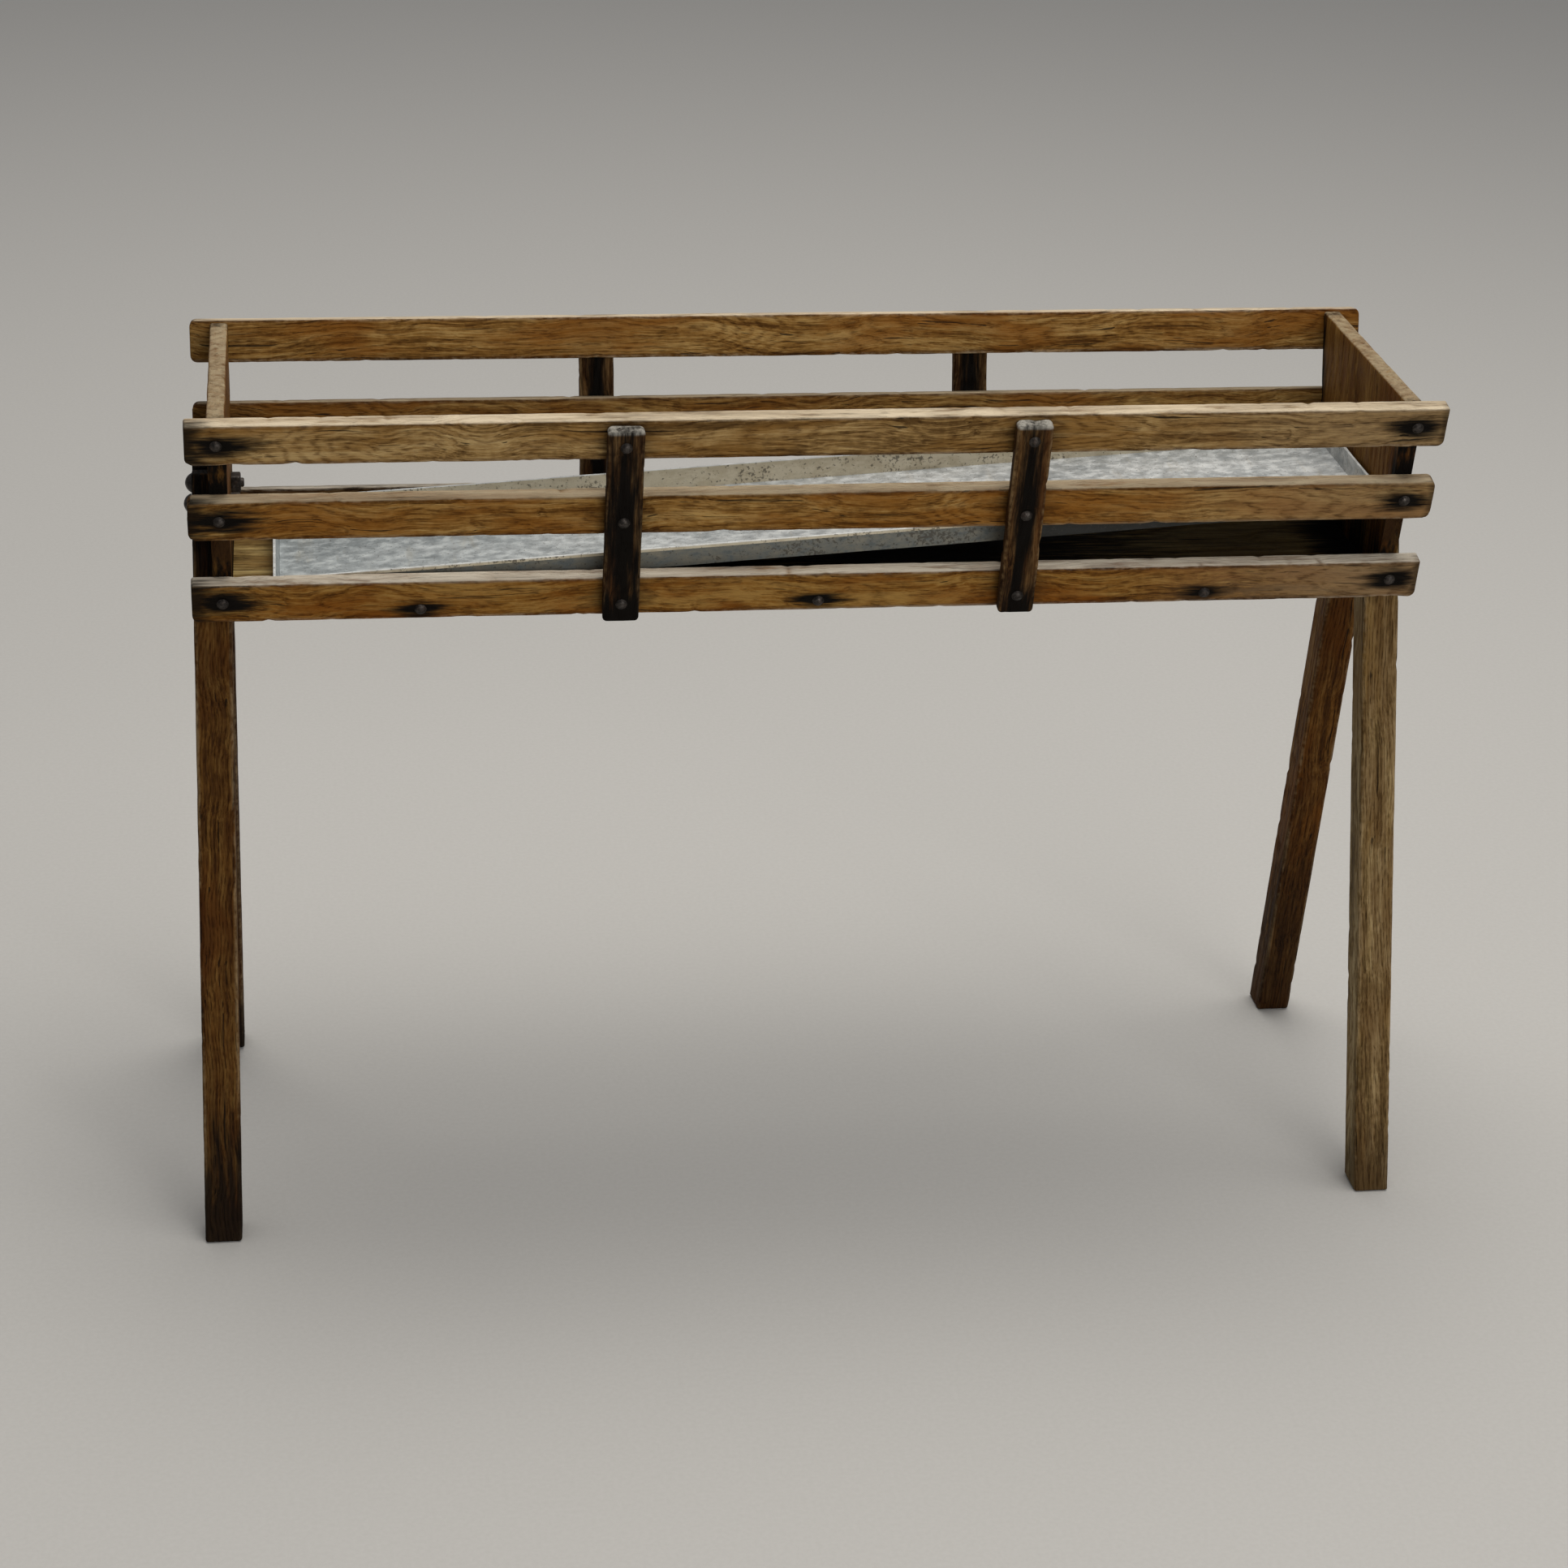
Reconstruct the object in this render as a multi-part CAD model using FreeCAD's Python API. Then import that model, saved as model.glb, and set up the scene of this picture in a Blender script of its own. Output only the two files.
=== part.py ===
import FreeCAD, Part
import math
import os

# Slatted plant trough on splayed legs, with a loose zinc tray.
# Millimetres. Origin on the floor under the middle of the stand,
# X along the trough, Y from front to back, Z up.

# Overall sizes
stand_height = 700.0
slat_length = 1000.0
top_width = 276.0
wall_lean = 12.0

# Slats, counted down the slope of the wall; the rear bottom one sits a little higher
slat_width = 36.0
slat_thickness = 14.0
upper_gap = 32.5
lower_gap = 40.5
rear_bottom_rise = 4.0
slat_corner = 6.0
slat_small_corner = 2.5
slat_ease = 1.5

# End boards and floor
slat_overhang = 17.0
board_thickness = 15.0
board_ease = 1.5
floor_thickness = 17.0

# Battens nailed across the outside of the slats
batten_width = 30.0
batten_thickness = 12.0
batten_spread = 322.0
batten_top_step = 3.0
batten_top_corner = 5.0
batten_foot_corner = 4.0
batten_ease = 1.5

# Legs, halved over the end boards, splayed front to back and leaning a little outward
leg_thickness = 31.0
leg_depth = 32.0
leg_angle = 13.4
leg_lean = 0.9
leg_head = 26.0
leg_top_gap = 5.8
leg_ease = 2.0

# Leg bolts; those at the right end, which prop the tray, sit a step lower
bolt_diameter = 8.0
bolt_drop = 104.0
right_bolt_step = 6.4
bolt_head_diameter = 17.0
bolt_head_rise = 6.5
bolt_neck = 5.0
bolt_end = 2.5
nut_width = 14.0
nut_thickness = 8.0
nut_bevel = 1.2

# Nails
nail_diameter = 3.2
nail_head_diameter = 10.0
nail_head_rise = 3.0
slat_nail_length = 34.0
batten_nail_length = 22.0
floor_nail_length = 26.0
floor_nail_spread = 320.0
floor_nail_height = 9.0

# Zinc tray
tray_left_gap = 38.0
tray_right_gap = 4.0
tray_side_gap = 2.4
tray_wall = 17.0
tray_flare = 2.0
tray_sheet = 1.0
tray_corner = 4.0
rim_overhang = 3.0
rim_height = 3.5
rim_ease = 1.2

# Clearances
hole_clearance = 0.05
rest_gap = 0.3

# Lengths below this count as the same place when edges and faces are picked out
same_place = 1e-6

# Sizes that follow from the ones above
lean = math.radians(wall_lean)
splay = math.radians(leg_angle)
wall_length = 3 * slat_width + upper_gap + lower_gap
wall_drop = wall_length * math.cos(lean)
wall_foot = stand_height - wall_drop
floor_top = wall_foot + floor_thickness
board_outer = slat_length / 2 - slat_overhang
board_inner = board_outer - board_thickness
board_middle = board_outer - board_thickness / 2
leg_outer = board_inner + leg_thickness
bolt_seat = leg_outer - bolt_head_diameter / 2 * math.tan(math.radians(leg_lean))
left_bolt_height = stand_height - bolt_drop
right_bolt_height = left_bolt_height - right_bolt_step
left_bolt_offset = leg_top_gap / 2 + leg_head * math.sin(splay) + leg_depth / 2 * math.cos(splay)
right_bolt_offset = left_bolt_offset + right_bolt_step * math.tan(splay)
front_rows = [0.0, slat_width + upper_gap, 2 * slat_width + upper_gap + lower_gap]
rear_rows = front_rows[:2] + [front_rows[2] - rear_bottom_rise]
os.makedirs("parts", exist_ok=True)


def vector(x, y, z):
    return FreeCAD.Vector(x, y, z)


def save(name, shape):
    shape.exportStep("parts/" + name + ".step")


def half_inside(z):
    """Half the clear width between the walls at a height."""
    slope = (stand_height - z) * math.tan(lean)
    return top_width / 2 - slope - slat_thickness / math.cos(lean)


def on_front(shape):
    """Places a shape drawn flat (X along, Y down the slope, Z inward) on the front wall."""
    placed = shape.copy()
    turn = FreeCAD.Rotation(vector(1, 0, 0), wall_lean - 90)
    placed.Placement = FreeCAD.Placement(vector(0, -top_width / 2, stand_height), turn)
    return placed


def on_rear(shape):
    """Places a shape drawn flat on the rear wall: the front wall turned half round."""
    placed = on_front(shape)
    placed.rotate(vector(0, 0, 0), vector(0, 0, 1), 180)
    return placed


def to_other_end(shape):
    """Mirrors a piece from the right end to the left end."""
    return shape.mirror(vector(0, 0, 0), vector(1, 0, 0))


def to_front(shape):
    """Mirrors a piece from the rear to the front."""
    return shape.mirror(vector(0, 0, 0), vector(0, 1, 0))


def uprights(block):
    """The four edges that stand along Z in a plain block."""
    return [edge for edge in block.Edges
            if edge.BoundBox.XLength < same_place and edge.BoundBox.YLength < same_place]


def uprights_at(plate, y):
    """The edges through a plate's thickness along one of its long sides."""
    return [edge for edge in uprights(plate) if abs(edge.CenterOfMass.y - y) < same_place]


def flat_edges(block):
    """The edges that lie level, round the two flat faces of a block."""
    return [edge for edge in block.Edges if edge.BoundBox.ZLength < same_place]


def rounded_plate(x0, x1, y0, y1, thickness, corner_y0, corner_y1, ease):
    """A flat plate with one corner radius at y0 and one at y1, its face edges eased."""
    plate = Part.makeBox(x1 - x0, y1 - y0, thickness, vector(x0, y0, 0))
    plate = plate.makeFillet(corner_y0, uprights_at(plate, y0))
    plate = plate.makeFillet(corner_y1, uprights_at(plate, y1))
    return plate.makeFillet(ease, flat_edges(plate))


def nail(x, y, surface, length):
    """A round-headed nail driven inward from a surface of the flat drawing."""
    shank = Part.makeCylinder(nail_diameter / 2, length, vector(x, y, surface), vector(0, 0, 1))
    base = nail_head_diameter / 2
    ball = (base ** 2 + nail_head_rise ** 2) / (2 * nail_head_rise)
    sphere = Part.makeSphere(ball, vector(x, y, surface + ball - nail_head_rise))
    corner = vector(x - 2 * ball, y - 2 * ball, surface - nail_head_rise)
    keep = Part.makeBox(4 * ball, 4 * ball, nail_head_rise, corner)
    return sphere.common(keep).fuse(shank).removeSplitter()


def nail_hole(x, y, surface, length):
    """The hole a nail sits in."""
    radius = nail_diameter / 2 + hole_clearance
    return Part.makeCylinder(radius, length + hole_clearance, vector(x, y, surface), vector(0, 0, 1))


def drilled(shape, holes):
    return shape.cut(Part.makeCompound(holes))


# Both walls: slats, battens across their outside, and nails in one group for each use.
# The top and bottom slats are rounded below, the middle one all round
row_names = ["top", "middle", "bottom"]
upper_corners = [slat_small_corner, slat_corner, slat_small_corner]
batten_places = [-batten_spread / 2, batten_spread / 2]
floor_nail_row = (stand_height - wall_foot - floor_nail_height) / math.cos(lean)
floor_nails = [(x, floor_nail_row, 0.0, floor_nail_length)
               for x in (-floor_nail_spread, 0.0, floor_nail_spread)]
all_nail_holes = []
for wall, placed, rows, sides in (("front", on_front, front_rows, ("left", "right")),
                                  ("rear", on_rear, rear_rows, ("right", "left"))):
    nail_rows = [top + slat_width / 2 for top in rows]
    slat_nails = [(x, y, 0.0, slat_nail_length) for y in nail_rows for x in (-board_middle, board_middle)]
    batten_nails = [(x, y, -batten_thickness, batten_nail_length) for y in nail_rows for x in batten_places]
    holes = [nail_hole(*place) for place in slat_nails + batten_nails + floor_nails]
    all_nail_holes += [placed(hole) for hole in holes]
    for name, top, upper_corner in zip(row_names, rows, upper_corners):
        slat = rounded_plate(-slat_length / 2, slat_length / 2, top, top + slat_width, slat_thickness,
                             upper_corner, slat_corner, slat_ease)
        save(wall + "_" + name + "_slat", placed(drilled(slat, holes)))
    for side, x in zip(sides, batten_places):
        batten = rounded_plate(x - batten_width / 2, x + batten_width / 2, batten_top_step, wall_length,
                               batten_thickness, batten_top_corner, batten_foot_corner, batten_ease)
        batten.translate(vector(0, 0, -batten_thickness))
        save(wall + "_" + side + "_batten", placed(drilled(batten, holes)))
    for name, places in (("slat", slat_nails), ("batten", batten_nails), ("floor", floor_nails)):
        save(wall + "_" + name + "_nails", Part.makeCompound([placed(nail(*place)) for place in places]))

# Bolts, nuts and their holes are all drawn at the right end; those of the left end are then mirrored
right_bolt_places = [(side * right_bolt_offset, right_bolt_height) for side in (-1, 1)]
left_bolt_places = [(side * left_bolt_offset, left_bolt_height) for side in (-1, 1)]
bolt_tip = board_inner - nut_thickness - bolt_end


def bolt(y, z):
    """A dome-headed bolt through leg and end board, head outside."""
    base = bolt_head_diameter / 2
    ball = (base ** 2 + bolt_head_rise ** 2) / (2 * bolt_head_rise)
    sphere = Part.makeSphere(ball, vector(bolt_seat + bolt_head_rise - ball, y, z))
    keep = Part.makeBox(bolt_head_rise, 4 * ball, 4 * ball, vector(bolt_seat, y - 2 * ball, z - 2 * ball))
    head = sphere.common(keep)
    radius = bolt_diameter / 2
    neck = Part.makeBox(bolt_neck, bolt_diameter, bolt_diameter,
                        vector(bolt_seat - bolt_neck, y - radius, z - radius))
    shank = Part.makeCylinder(radius, bolt_seat - bolt_tip, vector(bolt_tip, y, z), vector(1, 0, 0))
    return head.fuse([neck, shank]).removeSplitter()


def bolt_hole(y, z):
    """The round hole for a bolt, the square pocket for its neck and the flat its head is drawn into."""
    radius = bolt_diameter / 2 + hole_clearance
    bore = Part.makeCylinder(radius, bolt_seat - bolt_tip, vector(bolt_tip, y, z), vector(1, 0, 0))
    pocket = Part.makeBox(bolt_neck + hole_clearance, 2 * radius, 2 * radius,
                          vector(bolt_seat - bolt_neck - hole_clearance, y - radius, z - radius))
    flat = Part.makeCylinder(bolt_head_diameter / 2 + hole_clearance, bolt_head_rise,
                             vector(bolt_seat, y, z), vector(1, 0, 0))
    return bore.fuse([pocket, flat])


def nut(y, z):
    """A square nut with its outer corners bevelled, flat side up."""
    block = Part.makeBox(nut_thickness, nut_width, nut_width,
                         vector(board_inner - nut_thickness, y - nut_width / 2, z - nut_width / 2))
    small = nut_width / 2 + nut_bevel
    rounder = Part.makeCone(small, small + nut_thickness, nut_thickness,
                            vector(board_inner - nut_thickness, y, z), vector(1, 0, 0))
    return block.common(rounder).cut(bolt_hole(y, z))


right_bolt_holes = [bolt_hole(*place) for place in right_bolt_places]
left_bolt_holes = [bolt_hole(*place) for place in left_bolt_places]
save("right_leg_bolts", Part.makeCompound([bolt(*place) for place in right_bolt_places]))
save("left_leg_bolts", to_other_end(Part.makeCompound([bolt(*place) for place in left_bolt_places])))
save("right_leg_nuts", Part.makeCompound([nut(*place) for place in right_bolt_places]))
save("left_leg_nuts", to_other_end(Part.makeCompound([nut(*place) for place in left_bolt_places])))

# End boards: solid, tapering to the floor, between the two walls
top_half = half_inside(stand_height)
foot_half = half_inside(wall_foot)
outline = [vector(board_inner, -top_half, stand_height), vector(board_inner, top_half, stand_height),
           vector(board_inner, foot_half, wall_foot), vector(board_inner, -foot_half, wall_foot)]
board = Part.Face(Part.makePolygon(outline + outline[:1])).extrude(vector(board_thickness, 0, 0))
top_edges = [edge for edge in board.Edges
             if abs(edge.BoundBox.ZMin - stand_height) < same_place and edge.BoundBox.YLength > top_half]
board = board.makeFillet(board_ease, top_edges)
save("right_end_board", drilled(board, all_nail_holes + right_bolt_holes))
save("left_end_board", to_other_end(drilled(board, all_nail_holes + left_bolt_holes)))

# Floor board, its long edges bevelled to the walls
floor_half = half_inside(floor_top)
section = [vector(-board_inner, -foot_half, wall_foot), vector(-board_inner, foot_half, wall_foot),
           vector(-board_inner, floor_half, floor_top), vector(-board_inner, -floor_half, floor_top)]
floor = Part.Face(Part.makePolygon(section + section[:1])).extrude(vector(2 * board_inner, 0, 0))
save("floor_board", drilled(floor, all_nail_holes))

# Rear right leg, drawn upright with its head above the left bolt's height, then splayed and leaned,
# cut level at the foot and halved to lap the outside of the end board.
# The four legs differ only in their bolt holes
leg_reach = (left_bolt_height + leg_depth) / math.cos(splay)
leg = Part.makeBox(leg_thickness, leg_depth, leg_reach + leg_head,
                   vector(board_inner, -leg_depth / 2, -leg_reach))
long_edges = [edge for edge in leg.Edges if edge.BoundBox.ZLength > leg_reach]
leg = leg.makeFillet(leg_ease, long_edges)
leg.rotate(vector(0, 0, 0), vector(1, 0, 0), leg_angle)
leg.translate(vector(0, left_bolt_offset, left_bolt_height))
leg.rotate(vector(leg_outer, 0, left_bolt_height), vector(0, 1, 0), -leg_lean)
ground = Part.makeBox(2 * leg_thickness, stand_height, stand_height,
                      vector(board_inner - leg_ease, 0, -stand_height))
lap = Part.makeBox(leg_thickness + board_thickness, top_width, stand_height,
                   vector(board_inner - leg_thickness, -top_width / 2, wall_foot))
leg = leg.cut([ground, lap])
right_leg = drilled(leg, right_bolt_holes)
left_leg = to_other_end(drilled(leg, left_bolt_holes))
save("rear_right_leg", right_leg)
save("rear_left_leg", left_leg)
save("front_right_leg", to_front(right_leg))
save("front_left_leg", to_front(left_leg))


# The tray lies between the end boards and the walls
tray_length = 2 * board_inner - tray_left_gap - tray_right_gap
tray_width = 2 * (half_inside(floor_top) - tray_side_gap)


def rounded_block(length, width, height, corner, level):
    """A block with round upright corners, standing at a level of the tray."""
    block = Part.makeBox(length, width, height, vector(-length / 2, -width / 2, level))
    return block.makeFillet(corner, uprights(block))


def ring(length, width, corner, level):
    """A closed rectangle with round corners, lying flat at a level of the tray."""
    block = rounded_block(length, width, tray_wall, corner, level)
    under = [face for face in block.Faces if abs(face.CenterOfMass.z - level) < same_place]
    return under[0].OuterWire


def pan(grow, level):
    """A solid block flared like the tray, grown outward and lifted from the bottom."""
    at_level = 2 * (grow + tray_flare * level / tray_wall)
    at_rim = 2 * (grow + tray_flare)
    low = ring(tray_length + at_level, tray_width + at_level, tray_corner + grow, level)
    high = ring(tray_length + at_rim, tray_width + at_rim, tray_corner + grow, tray_wall)
    return Part.makeLoft([low, high], True, True)


# Zinc tray: a flared pan with a rolled rim, drawn level
outside = pan(0.0, 0.0)
inside = pan(-tray_sheet, tray_sheet)
rim_grow = 2 * (tray_flare + rim_overhang)
rim = rounded_block(tray_length + rim_grow, tray_width + rim_grow, rim_height,
                    tray_corner + rim_overhang, tray_wall - rim_height)
rim = rim.makeFillet(rim_ease, flat_edges(rim))
tray = outside.fuse(rim).cut(inside).removeSplitter()

# The tray rests with its left end on the floor and its right end on the inner nuts
prop_x = board_inner - nut_thickness
prop_z = right_bolt_height + nut_width / 2 + rest_gap
tray_left = tray_left_gap - board_inner
tray_tilt = math.atan((prop_z - floor_top - rest_gap) / (prop_x - tray_left))
tray.translate(vector(tray_length / 2, 0, 0))
tray.rotate(vector(0, 0, 0), vector(0, 1, 0), -math.degrees(tray_tilt))
tray.translate(vector(tray_left, 0, floor_top + rest_gap))
save("zinc_tray", tray)
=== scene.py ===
import math

import bmesh
import bpy
from mathutils import Euler, Matrix, Vector


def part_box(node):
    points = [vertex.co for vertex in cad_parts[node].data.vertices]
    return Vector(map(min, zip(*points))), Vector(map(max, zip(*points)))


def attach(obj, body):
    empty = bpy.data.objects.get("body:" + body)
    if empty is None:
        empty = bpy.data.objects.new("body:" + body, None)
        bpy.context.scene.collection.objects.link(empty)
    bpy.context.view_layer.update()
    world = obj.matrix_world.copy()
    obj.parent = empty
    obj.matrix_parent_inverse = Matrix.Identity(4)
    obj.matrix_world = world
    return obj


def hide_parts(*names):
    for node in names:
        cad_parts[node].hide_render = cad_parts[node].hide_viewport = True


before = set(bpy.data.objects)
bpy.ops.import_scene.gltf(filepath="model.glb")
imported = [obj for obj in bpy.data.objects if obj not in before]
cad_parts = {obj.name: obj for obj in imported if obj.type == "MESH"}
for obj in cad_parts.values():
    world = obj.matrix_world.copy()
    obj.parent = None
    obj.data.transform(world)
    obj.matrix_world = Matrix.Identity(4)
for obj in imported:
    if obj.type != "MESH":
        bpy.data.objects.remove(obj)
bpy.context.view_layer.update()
bpy.ops.object.select_all(action="DESELECT")

# End boards
# Each end of the trough is one wide oak board, its grain upright, narrower at the floor than at the top.
# The slats are nailed to its sloping edges and the legs are bolted to its outside.
board_low, board_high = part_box("right_end_board")
board_thick = board_high.x - board_low.x
board_tall = board_high.z - board_low.z
board_top_wide = board_high.y - board_low.y
wall_lean = math.radians(12)
board_foot_wide = board_top_wide - 2 * board_tall * math.tan(wall_lean)
board_ease = 0.0025
# Folds sharper than the crease stay crisp. An edge is level if its ends differ in height by less than this.
crease, level_within = math.radians(42), 1e-5


def sawn(name, length, width, thickness):
    """A sawn plank lying at the origin: X along its grain, Y across it, Z through it."""
    bpy.ops.object.select_all(action="DESELECT")
    bpy.ops.mesh.primitive_cube_add(size=1)
    piece = bpy.context.object
    piece.name = name
    bpy.ops.object.mode_set(mode="EDIT")
    bpy.ops.transform.resize(value=(length, width, thickness), center_override=(0, 0, 0))
    return piece


def pick(piece, wanted):
    """Selects the edges of the piece being shaped whose two ends are both wanted."""
    bpy.ops.mesh.select_mode(type="EDGE")
    bpy.ops.mesh.select_all(action="DESELECT")
    shape = bmesh.from_edit_mesh(piece.data)
    for edge in shape.edges:
        edge.select_set(wanted(edge.verts[0].co, edge.verts[1].co))
    bmesh.update_edit_mesh(piece.data)


def cut_across(axis, start, end, pitch):
    """Cuts the piece being shaped into short lengths, so that it can wear unevenly."""
    count = max(1, round((end - start) / pitch))
    for number in range(1, count):
        place = [0, 0, 0]
        place[axis] = start + (end - start) * number / count
        direction = [0, 0, 0]
        direction[axis] = 1
        bpy.ops.mesh.select_all(action="SELECT")
        bpy.ops.mesh.bisect(plane_co=place, plane_no=direction)


def sunk(piece, deepest, size, contrast, brightness):
    """Sinks the surface of a piece unevenly, up to the deepest."""
    texture = bpy.data.textures.new(piece.name + "_wear", "CLOUDS")
    texture.noise_scale = size
    texture.noise_depth = 3
    texture.contrast = contrast
    texture.intensity = brightness
    texture.use_clamp = True
    wear = piece.modifiers.new("wear", "DISPLACE")
    wear.texture = texture
    wear.texture_coords = "GLOBAL"
    wear.strength = deepest
    wear.mid_level = 1
    bpy.ops.object.modifier_apply(modifier="wear")


def worn(piece, deepest, size, dent=0.0):
    """Hollows a piece all over, as use and weather do, dents it here and there and smooths its shading."""
    bpy.ops.object.mode_set(mode="OBJECT")
    sunk(piece, deepest, size, contrast=1.0, brightness=1.0)
    if dent:
        sunk(piece, dent, size * 0.45, contrast=4.5, brightness=2.0)
    bpy.ops.object.shade_smooth_by_angle(angle=crease)


def take_up(piece):
    """Makes a piece the only one selected, to work on it."""
    bpy.ops.object.mode_set(mode="OBJECT")
    bpy.ops.object.select_all(action="DESELECT")
    piece.select_set(True)
    bpy.context.view_layer.objects.active = piece


def laid(piece, place, turn):
    """Moves a finished shape from the origin to its place on the stand."""
    take_up(piece)
    piece.location = place
    piece.rotation_euler = turn
    bpy.ops.object.transform_apply(location=True, rotation=True, scale=True)


def again(piece, name):
    """A copy of a shape, with a mesh of its own."""
    take_up(piece)
    bpy.ops.object.duplicate(linked=False)
    copy = bpy.context.object
    copy.name = name
    return copy


class Value:
    """A number, colour or direction in a finish, which can be reckoned with like a plain number."""

    def __init__(self, finish, socket):
        self.finish = finish
        self.socket = socket

    def node(self, kind, settings, sockets, output=0):
        """Adds a node: its settings are made first, then its sockets are filled or linked."""
        made = self.finish.node_tree.nodes.new(kind)
        for setting, choice in settings.items():
            if setting == "stops":
                while len(made.color_ramp.elements) < len(choice):
                    made.color_ramp.elements.new(1)
                for element, (position, colour) in zip(made.color_ramp.elements, choice):
                    element.position = position
                    element.color = (*colour, 1)
            else:
                setattr(made, setting, choice)
        for socket, given in sockets.items():
            if isinstance(given, Value):
                self.finish.node_tree.links.new(given.socket, made.inputs[socket])
            else:
                made.inputs[socket].default_value = given
        return Value(self.finish, made.outputs[output])

    def reckon(self, operation, *terms):
        """Adds one Math node."""
        return self.node("ShaderNodeMath", {"operation": operation}, dict(enumerate(terms)))

    def __add__(self, other):
        return self.reckon("ADD", self, other)

    def __radd__(self, other):
        return self.reckon("ADD", other, self)

    def __sub__(self, other):
        return self.reckon("SUBTRACT", self, other)

    def __rsub__(self, other):
        return self.reckon("SUBTRACT", other, self)

    def __mul__(self, other):
        return self.reckon("MULTIPLY", self, other)

    def __rmul__(self, other):
        return self.reckon("MULTIPLY", other, self)

    def __truediv__(self, other):
        return self.reckon("DIVIDE", self, other)

    def __rtruediv__(self, other):
        return self.reckon("DIVIDE", other, self)

    def __pow__(self, other):
        return self.reckon("POWER", self, other)

    def __abs__(self):
        return self.reckon("ABSOLUTE", self)

    def most(self, other):
        """The larger of two values."""
        return self.reckon("MAXIMUM", self, other)

    def rise(self, low, high):
        """Goes smoothly from 0 at low to 1 at high."""
        return self.node("ShaderNodeMapRange", {"interpolation_type": "SMOOTHSTEP"},
                         {"Value": self, "From Min": low, "From Max": high})

    def blend(self, first, second, way="MIX"):
        """A colour that goes from first to second as this value goes from 0 to 1."""
        first, second = (c if isinstance(c, Value) else (*c, 1) for c in (first, second))
        return self.node("ShaderNodeMix", {"data_type": "RGBA", "blend_type": way},
                         {0: self, 6: first, 7: second}, output=2)

    def noise(self, scale, shift, detail):
        """Cloudy noise with a scale of its own in each direction; shift tells one cloud from another."""
        spread = self.node("ShaderNodeVectorMath", {"operation": "MULTIPLY_ADD"},
                           {0: self, 1: scale, 2: (shift, shift * 1.7, shift * 0.6)})
        return self.node("ShaderNodeTexNoise", {}, {"Vector": spread, "Scale": 1.0, "Detail": detail,
                                                    "Roughness": 0.6})

    def parts(self):
        """The three directions of a place, apart."""
        return [self.node("ShaderNodeSeparateXYZ", {}, {"Vector": self}, output=axis) for axis in "XYZ"]


def new_finish(name, place, turn):
    """A finish and its flat place on the piece: as the piece lay before it was put in its place."""
    finish = bpy.data.materials.new(name)
    finish.use_nodes = True
    start = Value(finish, None)
    spot = start.node("ShaderNodeTexCoord", {}, {}, output="Object")
    flat = spot.node("ShaderNodeMapping", {"vector_type": "TEXTURE"},
                     {"Vector": spot, "Location": place, "Rotation": turn})
    return finish, flat


def applied(piece, finish, colour, roughness, height, relief, metallic=0.0):
    """Joins colour, roughness and relief to the finish's shader and gives the finish to a piece."""
    shader = finish.node_tree.nodes["Principled BSDF"]
    links = finish.node_tree.links
    links.new(colour.socket, shader.inputs["Base Color"])
    links.new(roughness.socket, shader.inputs["Roughness"])
    if isinstance(metallic, Value):
        links.new(metallic.socket, shader.inputs["Metallic"])
    else:
        shader.inputs["Metallic"].default_value = metallic
    bump = height.node("ShaderNodeBump", {}, {"Height": height, "Distance": relief, "Strength": 1.0})
    links.new(bump.socket, shader.inputs["Normal"])
    piece.data.materials.clear()
    piece.data.materials.append(finish)


greyed_oak = (0.26, 0.18, 0.095)
early_wood, open_pore, edge_grime_and_shade = (0.44, 0.33, 0.24), (0.32, 0.25, 0.19), (0.38, 0.30, 0.24)
split_dark, stain_and_shade_black = (0.012, 0.007, 0.004), (0.0042, 0.0030, 0.0021)
# How far down the pale upper side reaches on most pieces: weathered paler, and painted lighter by the light
# from above
thin_skin = 0.0018


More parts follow.
